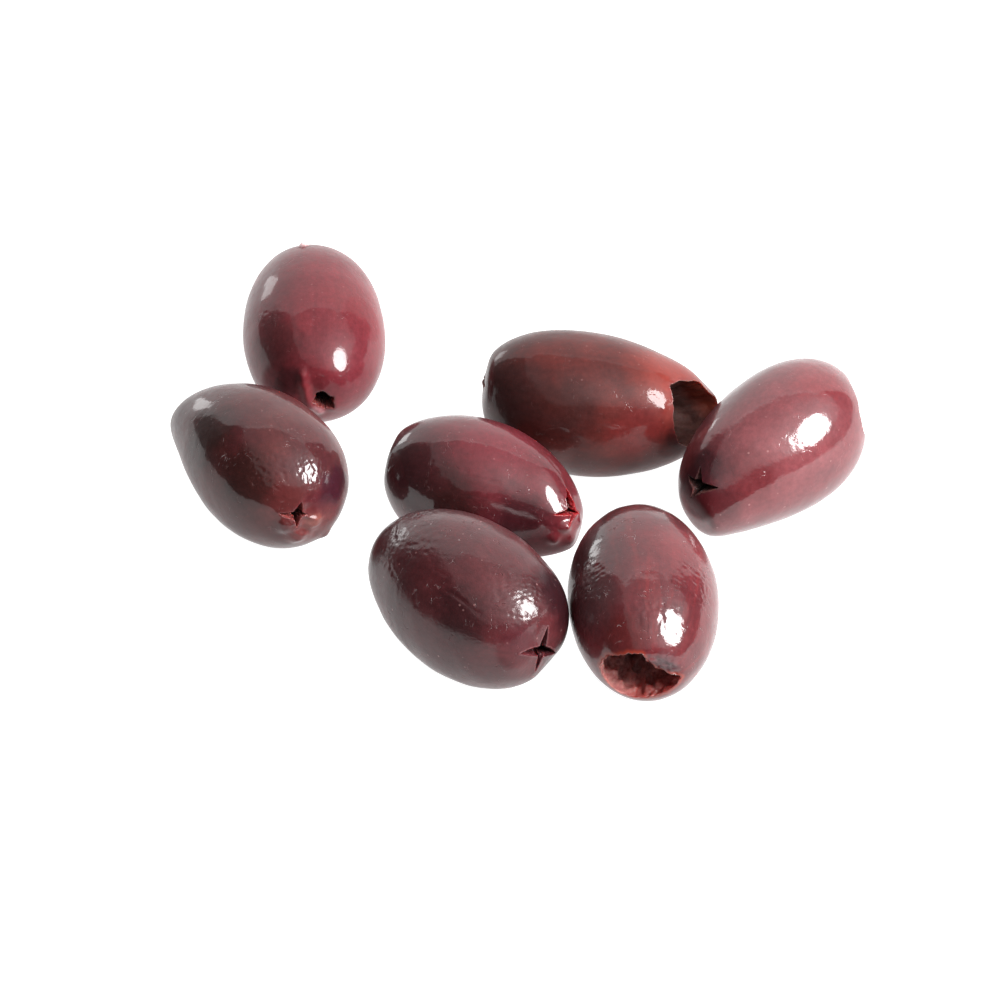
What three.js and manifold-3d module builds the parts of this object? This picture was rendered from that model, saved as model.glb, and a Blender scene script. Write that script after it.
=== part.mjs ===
// Seven pitted, brined olives lying loosely together on a table.
//
// Millimetres, +Z up, the table at z = 0, the origin under the middle of the group's footprint.
// Each olive is one closed solid: an egg-shaped body turned on its long axis, slightly bent and
// blunt at both tips, opened at both ends by the pitting machine, and pressed flat where it rests.

import * as THREE from 'three';
import { mergeVertices } from 'three/addons/utils/BufferGeometryUtils.js';
import Module from 'manifold-3d';

// How finely the bodies and the cutting tools are faceted.
const SIDES = 34;
const RINGS = 19;
const PIT_SIDES = 20;
const PIT_RINGS = 12;

// The tips are cut off at this share of the half length, which leaves a blunt end.
const TIP_SHARE = 0.97;
// How deep each olive presses into the table, which leaves its flat resting spot.
const SAG = 0.12;
// The four-armed cut: half its width between the arms, its depth, and its width at the bottom
// as a share of that at the skin.
const CROSS_WAIST = 0.75;
const CROSS_DEPTH = 5;
const CROSS_BOTTOM_SHARE = 0.35;
// How far every cutting tool stands out of the skin.
const TOOL_CLEARANCE = 2;
// The round hole that the pitting punch leaves at the end away from the cross.
const PUNCH_RADII = [4.2, 2.3, 2.3];

const SKINS = {
  rosy: 0x7d3b42,
  crimson: 0x5e2129,
  redBrown: 0x6b2d2a,
  plum: 0x4d272b,
  maroon: 0x552529,
  pink: 0x8a4b53,
};

// One entry for each olive, in its own frame: +X along the olive towards its front end, +Z up.
//   place, heading, pitch  where the middle lies on the table, the way +X points, its rise
//   length, width          tip to tip before the tips are blunted, and across
//   taper                  how much wider the front half is than the back half
//   blunt                  front and back: below 1 the end is full, above 1 it is pointed
//   squash                 height as a share of the width
//   bend, arch             how far the long axis bows sideways and upwards
//   frontLean, backLean    how far each tip leans sideways and upwards
//   cross                  the four-armed cut: which end, its aim from the middle, the turn of
//                          its arms and how far they reach
//   pit                    the hollow that the stone left: which end, the middle of its mouth,
//                          its aim, and its radii inwards, sideways and upwards
//   facet                  a flat face: which end, its aim and its distance from the middle
const OLIVES = [
  {
    name: 'olive_back_left', skin: 'rosy',
    place: [-24.8, 26.6], heading: -86.2, pitch: -1.8,
    length: 26.6, width: 17.3, taper: 0.05, blunt: [0.86, 0.75], squash: 0.97,
    bend: -0.1, arch: 0.1, frontLean: [-0.2, 0.25], backLean: [-0.3, -0.3],
    cross: { end: 1, turn: 5, lift: -1, roll: 55, reach: 2.8 },
    pit: { end: -1, mouth: [-12.9, -0.3, -0.3], turn: 0, lift: 0, radii: PUNCH_RADII },
  },
  {
    name: 'olive_left', skin: 'plum',
    place: [-30.9, 1.1], heading: -56.3, pitch: -0.6,
    length: 26.1, width: 17.1, taper: 0.15, blunt: [0.98, 0.95], squash: 0.975,
    bend: -0.15, arch: -0.05, frontLean: [-0.1, -0.15], backLean: [-2.8, -0.3],
    cross: { end: 1, turn: -11, lift: 3, roll: 60, reach: 3.4 },
    pit: { end: -1, mouth: [-12.6, -2.5, -0.4], turn: -8, lift: 0, radii: PUNCH_RADII },
  },
  {
    name: 'olive_back_middle', skin: 'redBrown',
    place: [10.1, 11.9], heading: -3.3, pitch: -6.9,
    length: 29.7, width: 17.6, taper: -0.165, blunt: [1.06, 0.93], squash: 0.97,
    bend: 0.3, arch: 0.15, frontLean: [0.85, 0.3], backLean: [0.7, 0.2],
    cross: { end: -1, turn: 3, lift: 2, roll: 20, reach: 2.8 },
    pit: { end: 1, mouth: [11.3, -1.8, 2.5], turn: -28, lift: 31, radii: [8, 4.6, 4.2] },
  },
  {
    name: 'olive_middle', skin: 'crimson',
    place: [-3.7, -4.0], heading: -17.8, pitch: -6.8,
    length: 25.6, width: 16.4, taper: -0.12, blunt: [1.03, 0.93], squash: 0.97,
    bend: -0.7, arch: -0.3, frontLean: [-1.35, -0.45], backLean: [1.25, 0.4],
    cross: { end: 1, turn: -15, lift: 13, roll: 37, reach: 3 },
    pit: { end: -1, mouth: [-12.4, 0.8, 0.2], turn: 4, lift: 0, radii: PUNCH_RADII },
  },
  {
    name: 'olive_right', skin: 'pink',
    place: [30.15, 3.3], heading: 220.2, pitch: -9.8,
    length: 27.7, width: 17.0, taper: -0.195, blunt: [0.78, 1.03], squash: 0.97,
    bend: 0.1, arch: -0.1, frontLean: [1.95, -0.15], backLean: [-1.7, 0.25],
    cross: { end: 1, turn: 7, lift: 19, roll: -5, reach: 3.1 },
    pit: { end: -1, mouth: [-10.9, 4.6, 0.8], turn: 25, lift: 0, radii: PUNCH_RADII },
    facet: { end: -1, turn: 25, lift: 0, reach: 11.85 },
  },
  {
    name: 'olive_front_left', skin: 'plum',
    place: [-6.2, -25.6], heading: -48.9, pitch: -1.2,
    length: 27.5, width: 18.5, taper: 0.07, blunt: [0.83, 0.99], squash: 0.98,
    bend: 0, arch: 0, frontLean: [-0.15, 0.15], backLean: [-0.65, -0.1],
    cross: { end: 1, turn: 1, lift: 0, roll: 66, reach: 3.6 },
    pit: { end: -1, mouth: [-13.4, -0.6, -0.1], turn: 0, lift: 0, radii: PUNCH_RADII },
  },
  {
    name: 'olive_front_right', skin: 'maroon',
    place: [14.6, -26.2], heading: -86.4, pitch: -2.1,
    length: 28.1, width: 17.5, taper: -0.02, blunt: [0.84, 0.89], squash: 0.975,
    bend: -0.4, arch: -0.05, frontLean: [0.15, 0], backLean: [0.65, 0],
    cross: { end: -1, turn: -3, lift: 0, roll: 45, reach: 2.8 },
    pit: { end: 1, mouth: [12.3, -1.0, -0.2], turn: -8, lift: 0, radii: [8, 4.9, 3.4] },
  },
];

const radians = THREE.MathUtils.degToRad;
const wasm = await Module();
wasm.setup();

// A closed three.js shape as a solid that can be cut. Vertices in one place become one vertex, and
// the triangles that this leaves without an area are dropped.
function solidOf(geometry) {
  const bare = geometry.index ? geometry.clone() : geometry;
  bare.deleteAttribute('normal');
  bare.deleteAttribute('uv');
  const merged = mergeVertices(bare, 1e-4);
  const corners = [];
  for (let i = 0; i < merged.index.count; i += 3) {
    const [a, b, c] = [0, 1, 2].map((step) => merged.index.getX(i + step));
    if (a !== b && b !== c && c !== a) corners.push(a, b, c);
  }
  return new wasm.Manifold(new wasm.Mesh({
    numProp: 3,
    vertProperties: new Float32Array(merged.attributes.position.array),
    triVerts: new Uint32Array(corners),
  }));
}

function geometryOf(solid) {
  const mesh = solid.getMesh();
  const geometry = new THREE.BufferGeometry();
  geometry.setAttribute('position', new THREE.BufferAttribute(mesh.vertProperties, 3));
  geometry.setIndex(new THREE.BufferAttribute(mesh.triVerts, 1));
  geometry.computeVertexNormals();
  return geometry;
}

// The olive's radius where the distance along its axis is the share `along` of the half length,
// -1 at the back tip and 1 at the front tip.
function radiusAt(olive, along) {
  const frontShare = 0.5 * (1 + along);
  const power = olive.blunt[0] * frontShare + olive.blunt[1] * (1 - frontShare);
  const round = Math.sqrt(1 - along * along) ** power;
  return 0.5 * olive.width * round * (1 + olive.taper * along);
}

// How far the middle of the section there lies off the straight axis, sideways and upwards.
function spineAt(olive, along) {
  const bow = along * along - 0.35;
  const lean = along > 0 ? olive.frontLean : olive.backLean;
  const tip = along ** 4;
  return [olive.bend * bow + lean[0] * tip, olive.arch * bow + lean[1] * tip];
}

// The whole body: a profile turned on a lathe, then flattened, bowed and leant ring by ring.
function bodyGeometry(olive) {
  const half = 0.5 * olive.length;
  const blunt = Math.acos(TIP_SHARE);
  const profile = [new THREE.Vector2(0, -half * TIP_SHARE)];
  for (let ring = 0; ring <= RINGS; ring += 1) {
    const angle = Math.PI - blunt - (ring / RINGS) * (Math.PI - 2 * blunt);
    const along = Math.cos(angle);
    profile.push(new THREE.Vector2(radiusAt(olive, along), half * along));
  }
  profile.push(new THREE.Vector2(0, half * TIP_SHARE));
  const geometry = new THREE.LatheGeometry(profile, SIDES);
  geometry.rotateZ(-Math.PI / 2);
  const position = geometry.attributes.position;
  for (let i = 0; i < position.count; i += 1) {
    const [sideways, upwards] = spineAt(olive, position.getX(i) / half);
    position.setY(i, position.getY(i) + sideways);
    position.setZ(i, position.getZ(i) * olive.squash + upwards);
  }
  return geometry;
}

// The direction out of an end, turned sideways and lifted by angles in degrees.
function aim({ end, turn, lift }) {
  const level = Math.cos(radians(lift));
  return new THREE.Vector3(
    end * level * Math.cos(radians(turn)),
    level * Math.sin(radians(turn)),
    Math.sin(radians(lift)),
  );
}

// Moves a tool made along +X to `place`, so that its +X points out along `outward`.
function pointed(geometry, outward, place) {
  const side = new THREE.Vector3(0, 0, 1).cross(outward).normalize();
  const up = outward.clone().cross(side);
  const frame = new THREE.Matrix4().makeBasis(outward, side, up).setPosition(place);
  return geometry.applyMatrix4(frame);
}

// The four-armed cut that the stone was pushed out through: a star that narrows as it goes in.
function crossTool(olive) {
  const { roll, reach } = olive.cross;
  const star = new THREE.Shape();
  for (let corner = 0; corner < 8; corner += 1) {
    const radius = corner % 2 === 0 ? reach : CROSS_WAIST;
    const angle = radians(roll + 45 * corner);
    const point = [radius * Math.cos(angle), radius * Math.sin(angle)];
    if (corner === 0) star.moveTo(...point);
    else star.lineTo(...point);
  }
  star.closePath();
  const depth = CROSS_DEPTH + TOOL_CLEARANCE;
  const geometry = new THREE.ExtrudeGeometry(star, { depth, bevelEnabled: false });
  const position = geometry.attributes.position;
  for (let i = 0; i < position.count; i += 1) {
    const share = THREE.MathUtils.lerp(CROSS_BOTTOM_SHARE, 1, position.getZ(i) / depth);
    const [across, high, inward] = [position.getX(i), position.getY(i), position.getZ(i)];
    position.setXYZ(i, inward - CROSS_DEPTH, across * share, high * share);
  }
  const outward = aim(olive.cross);
  return pointed(geometry, outward, outward.clone().multiplyScalar(0.5 * olive.length * TIP_SHARE));
}

// The hollow that the stone left, an oval bowl whose middle is in its mouth.
function pitTool(olive) {
  const { mouth, radii } = olive.pit;
  const geometry = new THREE.SphereGeometry(1, PIT_SIDES, PIT_RINGS);
  geometry.scale(...radii);
  return pointed(geometry, aim(olive.pit), new THREE.Vector3(...mouth));
}

// A flat slice off an end, square to the facet's aim.
function facetTool(olive) {
  const outward = aim(olive.facet);
  const geometry = new THREE.BoxGeometry(TOOL_CLEARANCE, olive.width, olive.width);
  const middle = outward.clone().multiplyScalar(olive.facet.reach + 0.5 * TOOL_CLEARANCE);
  return pointed(geometry, outward, middle);
}

// The table under an olive that lies as `mesh` does, seen from the mesh's own frame.
function tableTool(olive, mesh) {
  const geometry = new THREE.BoxGeometry(olive.length * 2, olive.length * 2, olive.width);
  geometry.translate(mesh.position.x, mesh.position.y, -0.5 * olive.width);
  mesh.updateMatrix();
  return geometry.applyMatrix4(mesh.matrix.clone().invert());
}

function makeOlive(olive) {
  let solid = solidOf(bodyGeometry(olive));
  const tools = [crossTool(olive), pitTool(olive)];
  if (olive.facet) tools.push(facetTool(olive));
  for (const tool of tools) solid = solid.subtract(solidOf(tool));

  const material = new THREE.MeshStandardMaterial({
    color: SKINS[olive.skin], roughness: 0.25, metalness: 0,
  });
  const mesh = new THREE.Mesh(geometryOf(solid), material);
  mesh.name = olive.name;
  mesh.rotation.set(0, radians(-olive.pitch), radians(olive.heading), 'ZYX');
  const lowest = new THREE.Box3().setFromObject(mesh, true).min.z;
  mesh.position.set(...olive.place, -lowest - SAG);
  mesh.geometry = geometryOf(solid.subtract(solidOf(tableTool(olive, mesh))));
  return mesh;
}

const group = new THREE.Group();
OLIVES.forEach((olive) => group.add(makeOlive(olive)));

export default group;
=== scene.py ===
import math

import bpy
import numpy as np
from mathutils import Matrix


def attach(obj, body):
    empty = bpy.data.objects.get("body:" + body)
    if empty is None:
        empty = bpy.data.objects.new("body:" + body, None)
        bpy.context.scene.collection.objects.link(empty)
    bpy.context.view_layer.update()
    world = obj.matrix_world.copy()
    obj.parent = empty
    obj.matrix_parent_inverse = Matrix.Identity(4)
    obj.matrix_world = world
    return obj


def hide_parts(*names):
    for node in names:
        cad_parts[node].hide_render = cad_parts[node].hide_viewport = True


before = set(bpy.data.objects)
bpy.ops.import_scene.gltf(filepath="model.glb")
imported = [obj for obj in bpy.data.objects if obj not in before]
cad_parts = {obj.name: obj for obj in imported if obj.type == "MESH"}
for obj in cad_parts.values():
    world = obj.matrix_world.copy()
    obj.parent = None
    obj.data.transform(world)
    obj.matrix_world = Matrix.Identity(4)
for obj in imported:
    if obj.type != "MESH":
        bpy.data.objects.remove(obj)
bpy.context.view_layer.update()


# ---- Camera ----
# A long lens looks down on the olives from the side that the open ends face, far enough away
# that their shapes stay nearly parallel.
CAMERA_REACH = 1.0
CAMERA_RISE = math.radians(38)
CAMERA_AIM = (-0.0021, 0.0040, 0.0)
SENSOR = 36.0
SEEN_WIDTH = 0.1204819

lens = bpy.data.cameras.new("long_lens")
lens.sensor_width = SENSOR
lens.lens = SENSOR * CAMERA_REACH / SEEN_WIDTH
lens.clip_start = 0.05
lens.clip_end = 60.0
camera = bpy.data.objects.new("camera", lens)
camera.location = (
    CAMERA_AIM[0],
    CAMERA_AIM[1] - CAMERA_REACH * math.cos(CAMERA_RISE),
    CAMERA_AIM[2] + CAMERA_REACH * math.sin(CAMERA_RISE),
)
camera.rotation_euler = (math.pi / 2 - CAMERA_RISE, 0.0, 0.0)
bpy.context.scene.collection.objects.link(camera)
bpy.context.scene.camera = camera


# ---- Olive at the back left ----
# A rosy, firm, almond-shaped olive, cured in brine and oiled. A machine pushed the stone out
# through a four-armed cut at the near end, and left a round hole at the far end.
MM = 0.001
COLUMNS = 256
CUT_ROWS = 28
SKIN_ROWS = 120
WALL_ROWS = 24
# How deep each olive presses into the table, and how its blunt tips are rounded, in millimetres
# and as shares of the half length.
SAG = 0.12
TIP_START = 0.9
TIP_SPAN = 0.07

# The round hole that the pitting punch leaves, 4.4 mm wide.
PUNCHED_HOLE = {"patch": 4.4, "depth": 4.2, "lip": 0.3, "rim": ((0, 2.2),), "ragged": 0.1}

# Lengths are in millimetres in the olive's own frame, +X towards its front end, angles in degrees.
# Lumps have a size and a height, swellings a centre, a radius and a height, wrinkles a centre, a
# radius, a size and a height, and creases two ends, a width and a depth. A swelling of negative
# height is a dent, and a crease of negative depth is a ridge.
# Each arm of a cut has its turn round the cut's axis, its reach and half its width. Each flap
# between two arms is lifted by an amount. A hole's rim is a list of turns and reaches.
back_left = {
    "node": "olive_back_left", "slot": "rosy_olive_skin", "seed": 11,
    "place": (-24.8, 26.6), "heading": -86.2, "pitch": -1.8,
    "length": 26.6, "width": 17.3, "taper": 0.05, "blunt": (0.86, 0.75), "squash": 0.97,
    "bend": -0.1, "arch": 0.1, "front_lean": (-0.2, 0.25), "back_lean": (-0.3, -0.3),
    "lumps": ((9.0, 0.05), (3.5, 0.025), (1.5, 0.008), (0.8, 0.002)),
    "swellings": (
        ((-9.4, -0.8, 6.2), 0.45, 0.6), ((12.6, 2.0, 2.6), 3.0, 0.57), ((11.7, 2.6, 4.0), 2.5, -0.1),
        ((12.9, -0.1, -1.9), 0.7, 0.5), ((12.8, 1.6, -1.2), 1.2, 0.3),
    ),
    "creases": (
        ((3.2, -6.0, 5.8), (6.0, -0.7, 7.8), 0.18, 0.05),
        ((8.5, -1.9, 6.2), (12.6, -1.6, 2.4), 0.5, 0.15), ((12.4, -1.9, 3.2), (12.9, -1.3, -1.0), 0.7, -0.6),
    ),
    "front": {
        "turn": 5, "lift": -1, "centre": (-0.6, 0.0), "patch": 5.2, "heart": 1.0, "depth": 3.5,
        "lip": 0.25, "curl": 0.05,
        "arms": ((-40, 1.8, 0.9), (25, 1.4, 0.6), (105, 1.6, 0.9), (185, 1.4, 0.7)),
        "flaps": (0.0, 0.0, 0.1, 0.1),
    },
    "back": dict(PUNCHED_HOLE, turn=0, lift=0, centre=(-0.3, -0.3)),
}


def unit(vectors):
    return vectors / np.linalg.norm(vectors, axis=-1, keepdims=True)


def smooth_step(low, high, value):
    share = np.clip((value - low) / (high - low), 0.0, 1.0)
    return share * share * (3.0 - 2.0 * share)


def apart_from(turns, turn):
    """The angle from each turn to one given in degrees, between half a turn back and forth."""
    return (turns - math.radians(turn) + np.pi) % (2.0 * np.pi) - np.pi


def ripples(points, seed, size, count=18):
    """Soft random relief, mostly between -1 and 1, whose bumps are about `size` wide."""
    dice = np.random.default_rng(seed)
    ways = unit(dice.normal(size=(count, 3)))
    pitches = 2.0 * size * dice.uniform(0.7, 1.5, count)
    starts = dice.uniform(0.0, 2.0 * np.pi, count)
    turns = points @ (ways.T * (2.0 * np.pi / pitches)) + starts
    return np.cos(turns).sum(axis=-1) / math.sqrt(count)


def aim(turn, lift, end):
    """The way out of an end, turned sideways and lifted by angles in degrees."""
    level = math.cos(math.radians(lift))
    sideways = level * math.sin(math.radians(turn))
    return np.array([end * level * math.cos(math.radians(turn)), sideways, math.sin(math.radians(lift))])


def end_power(olive, along):
    """How full or pointed the olive is at a place along it: below 1 is full, above 1 is pointed."""
    front_share = 0.5 * (1.0 + along)
    return olive["blunt"][0] * front_share + olive["blunt"][1] * (1.0 - front_share)


def skin_at(olive, ways):
    """The skin's places in the olive's own millimetres, for directions out from its middle."""
    along = ways[..., 0]
    sine = np.sqrt(np.clip(1.0 - along**2, 1e-12, None))
    around = ways[..., 1:] / sine[..., None]
    radius = 0.5 * olive["width"] * sine ** end_power(olive, along) * (1.0 + olive["taper"] * along)
    lean = np.where(along[..., None] > 0.0, np.array(olive["front_lean"]), np.array(olive["back_lean"]))
    bow = np.array([olive["bend"], olive["arch"]]) * (along**2 - 0.35)[..., None]
    middle = bow + lean * (along**4)[..., None]
    size = np.abs(along)
    rounded = TIP_START + TIP_SPAN * np.tanh((size - TIP_START) / TIP_SPAN)
    places = np.empty(ways.shape)
    places[..., 0] = 0.5 * olive["length"] * np.sign(along) * np.where(size < TIP_START, size, rounded)
    places[..., 1] = radius * around[..., 0] + middle[..., 0]
    places[..., 2] = radius * around[..., 1] * olive["squash"] + middle[..., 1]
    if "facet" in olive:
        turn, lift, end, reach, softness = olive["facet"]
        out = aim(turn, lift, end)
        over = softness * np.log1p(np.exp((places @ out - reach) / softness))
        places = places - over[..., None] * out
    return places


def ways_from_disc(olive, end, disc):
    """Directions for places given as offsets from the long axis, as shares of half the width."""
    sines = np.linspace(0.0, 0.9999, 900)
    reach = sines ** end_power(olive, end * np.sqrt(1.0 - sines**2))
    offset = np.linalg.norm(disc, axis=-1)
    sine = np.interp(offset, reach, sines)
    ways = np.empty(disc.shape[:-1] + (3,))
    ways[..., 0] = end * np.sqrt(1.0 - sine**2)
    ways[..., 1:] = disc / np.maximum(offset, 1e-9)[..., None] * sine[..., None]
    return ways


# Where an opening's axis starts unless its mouth is given, as a share of the olive's length.
MOUTH_SHARE = 0.47


def axis_of(olive, opening, end):
    """An opening's axis: a place on it, the way out, and the ways sideways and up across it."""
    out = aim(opening["turn"], opening["lift"], end)
    side = unit(np.cross([0.0, 0.0, 1.0], end * out))
    up = np.cross(end * out, side)
    centre = opening.get("centre", (0.0, 0.0))
    place = np.array(opening.get("mouth", out * MOUTH_SHARE * olive["length"]))
    return place + centre[0] * side + centre[1] * up, out, side, up


# Rounds of Newton's method that put the skin's rows on their places round an opening, its longest
# step, and how near to the olive's outline a place may come, as shares of half the width.
PLACING_ROUNDS = 24
LONGEST_STEP = 0.12
OUTERMOST = 0.98


def skin_over(olive, opening, end, wanted):
    """Skin straight above or below each wanted offset (sideways, up) from the opening's axis."""
    place, _, side, up = axis_of(olive, opening, end)

    def offsets(disc):
        reach = skin_at(olive, ways_from_disc(olive, end, disc)) - place
        return np.stack([reach @ side, reach @ up], axis=-1)

    disc = (place[1:] + wanted[..., :1] * side[1:] + wanted[..., 1:] * up[1:]) / (0.5 * olive["width"])
    step = 1e-4
    for _ in range(PLACING_ROUNDS):
        size = np.linalg.norm(disc, axis=-1, keepdims=True)
        disc = disc * np.minimum(1.0, OUTERMOST / np.maximum(size, 1e-9))
        here = offsets(disc)
        slope_a = (offsets(disc + [step, 0.0]) - here) / step
        slope_b = (offsets(disc + [0.0, step]) - here) / step
        miss = wanted - here
        area = slope_a[..., 0] * slope_b[..., 1] - slope_a[..., 1] * slope_b[..., 0]
        area = np.where(np.abs(area) < 1.0, 1.0, area)
        change_a = (miss[..., 0] * slope_b[..., 1] - miss[..., 1] * slope_b[..., 0]) / area
        change_b = (slope_a[..., 0] * miss[..., 1] - slope_a[..., 1] * miss[..., 0]) / area
        change = np.stack([change_a, change_b], axis=-1)
        size = np.linalg.norm(change, axis=-1, keepdims=True)
        disc = disc + change * np.minimum(1.0, LONGEST_STEP / np.maximum(size, 1e-9))
    ways = ways_from_disc(olive, end, disc)
    return skin_at(olive, ways), ways


def around_rim(turns, knots):
    """Values given at some turns in degrees, carried on between them all the way round."""
    angles = np.radians([turn for turn, _ in knots])
    values = np.array([value for _, value in knots])
    angles = np.concatenate([angles - 2.0 * np.pi, angles, angles + 2.0 * np.pi])
    return np.interp((turns + np.pi) % (2.0 * np.pi) - np.pi, angles, np.tile(values, 3))


# How ragged a cut's edge is, in wide and in narrow notches, and how sharply its arms meet.
WIDE_NOTCHES = 0.06
NARROW_NOTCHES = 0.03
ARM_POWER = 8


def rim_of(opening, turns, seed):
    """How far the cut edge lies from the opening's axis, in millimetres, all the way round."""
    ring = np.stack([np.cos(turns), np.sin(turns), 0.0 * turns], axis=-1)
    if "rim" in opening:
        rim = around_rim(turns, opening["rim"])
        for _ in range(opening.get("eased", 8)):
            rim = 0.25 * np.roll(rim, 1) + 0.5 * rim + 0.25 * np.roll(rim, -1)
        return rim + opening["ragged"] * (ripples(ring, seed, 0.5) + 0.5 * ripples(ring, seed + 1, 0.09))
    total = np.full(turns.shape, opening["heart"] ** ARM_POWER)
    share = np.linspace(0.0, 1.0, 300)
    for turn, length, half in opening["arms"]:
        across = half * (1.0 - share**2)
        angle = np.arctan2(across, length * share)
        edge = np.hypot(across, length * share)
        reach = np.interp(np.abs(apart_from(turns, turn)), angle[::-1], edge[::-1], right=0.0)
        total += reach**ARM_POWER
    notches = WIDE_NOTCHES * ripples(ring, seed, 0.3) + NARROW_NOTCHES * ripples(ring, seed + 1, 0.1)
    return total ** (1.0 / ARM_POWER) * (1.0 + notches)


# How much closer the mesh's columns stand at a cut's arms, and over what angle in radians.
ARM_CROWDING = 2.6
ARM_SPREAD = 0.22


def column_turns(opening):
    """The columns' angles round an opening, drawn together near the arms of a cut."""
    fine = np.linspace(0.0, 2.0 * np.pi, 2881)
    crowd = np.ones(fine.shape)
    for turn, _, _ in opening.get("arms", ()):
        crowd += ARM_CROWDING * np.exp(-((apart_from(fine, turn) / ARM_SPREAD) ** 2))
    total = np.concatenate([[0.0], np.cumsum(0.5 * (crowd[1:] + crowd[:-1]))])
    return np.interp(np.arange(COLUMNS) / COLUMNS, total / total[-1], fine)


def rim_gap(cut, rim):
    """The shortest way from each place across the opening to its cut edge, in millimetres."""
    steps = np.roll(rim, -1, axis=0) - rim
    reach = cut[..., None, :] - rim
    share = np.clip((reach * steps).sum(-1) / np.maximum((steps * steps).sum(-1), 1e-12), 0.0, 1.0)
    return np.sqrt(((reach - share[..., None] * steps) ** 2).sum(-1)).min(axis=-1)


def opened_end(olive, which):
    """The skin close round an opening, from its cut edge outwards, before its edge is rounded."""
    opening = olive[which]
    end = 1 if which == "front" else -1
    seed = olive["seed"] * 10 + (1 if which == "front" else 2)
    turns = column_turns(opening)
    full = rim_of(opening, turns, seed)
    reach = full
    if "tongue" in opening:
        turn, half, inner, _ = opening["tongue"]
        share = smooth_step(half, 0.6 * half, np.degrees(np.abs(apart_from(turns, turn))))
        reach = full + share * (inner - full)
    spread = np.linspace(0.0, 1.0, CUT_ROWS) ** 1.8
    lengths = reach + (opening["patch"] - reach) * spread[:, None]
    cut = np.stack([lengths * np.cos(turns), lengths * np.sin(turns)], axis=-1)
    skin, ways = skin_over(olive, opening, end, cut)
    return {
        "opening": opening, "end": end, "seed": seed, "turns": turns, "full": full,
        "cut": cut, "skin": skin, "ways": ways,
    }


def polar(ways, pole):
    """Angles from a pole, and round it, for directions."""
    side = unit(np.cross([0.0, 0.0, 1.0], pole))
    up = np.cross(pole, side)
    return np.arccos(np.clip(ways @ pole, -1.0, 1.0)), np.arctan2(ways @ up, ways @ side)


def skin_between(olive, front, back):
    """Rows of skin from the front opening's outer ring to the back one's."""
    front_pole = unit(front["ways"][-1].mean(axis=0))
    back_pole = -unit(back["ways"][-1].mean(axis=0))
    even = np.arange(COLUMNS) * 2.0 * np.pi / COLUMNS
    near, near_turn = polar(front["ways"][-1], front_pole)
    far, far_turn = polar(back["ways"][-1], back_pole)
    near_turn = (near_turn - even + np.pi) % (2.0 * np.pi) - np.pi
    far_turn = (far_turn - even + np.pi) % (2.0 * np.pi) - np.pi
    rows = []
    for share in np.linspace(0.0, 1.0, SKIN_ROWS + 2)[1:-1]:
        mix = smooth_step(0.0, 1.0, share)
        pole = unit((1.0 - mix) * front_pole + mix * back_pole)
        side = unit(np.cross([0.0, 0.0, 1.0], pole))
        up = np.cross(pole, side)
        tilt = (1.0 - share) * near + share * far
        turn = even + near_turn * (1.0 - share) ** 3 + far_turn * share**3
        ring = np.cos(turn)[:, None] * side + np.sin(turn)[:, None] * up
        rows.append(np.cos(tilt)[:, None] * pole + np.sin(tilt)[:, None] * ring)
    ways = np.array(rows)
    return skin_at(olive, ways), ways


def outward_of(rows):
    """Unit normals of a grid of skin rows that close round the olive."""
    down = np.gradient(rows, axis=0)
    across = np.roll(rows, -1, axis=1) - np.roll(rows, 1, axis=1)
    return unit(np.cross(across, down) * -1.0)


def relief_on(olive, skin):
    """How far the skin rises over the plain shape: lumps, swellings, creases and wrinkles."""
    relief = np.zeros(skin.shape[:2])
    for order, (size, height) in enumerate(olive["lumps"]):
        relief += height * ripples(skin, olive["seed"] * 100 + order, size)
    for centre, radius, height in olive.get("swellings", ()):
        apart = np.linalg.norm(skin - np.array(centre), axis=-1)
        relief += height * np.exp(-((apart / radius) ** 2))
    for start, end, width, depth in olive.get("creases", ()):
        way = np.array(end) - np.array(start)
        share = np.clip((skin - np.array(start)) @ way / (way @ way), 0.0, 1.0)
        apart = np.linalg.norm(skin - np.array(start) - share[..., None] * way, axis=-1)
        apart = apart + 0.3 * width * ripples(skin, olive["seed"] * 7, 3.0 * width)
        relief += depth * (0.5 * np.exp(-((apart / (2.5 * width)) ** 2)) - np.exp(-((apart / width) ** 2)))
    for centre, radius, size, height in olive.get("wrinkles", ()):
        apart = np.linalg.norm(skin - np.array(centre), axis=-1)
        ridges = np.abs(ripples(skin, olive["seed"] * 9 + int(10 * radius), size))
        relief += height * (0.6 - ridges) * smooth_step(radius, 0.5 * radius, apart)
    return relief


# Where a flap bends, as a share of its arms' length, and how far its curled edge reaches in.
HINGE_SHARE = 0.85
CURL_WIDTH = 0.5
# A cut's walls close to this share of their width on the way to its bottom.
CUT_BOTTOM = 0.4
# How far the rippled walls of a hollow run round and inwards, in the ripples' own measure.
WALL_ROUND = 3.0
WALL_INWARD = 5.0


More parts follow.
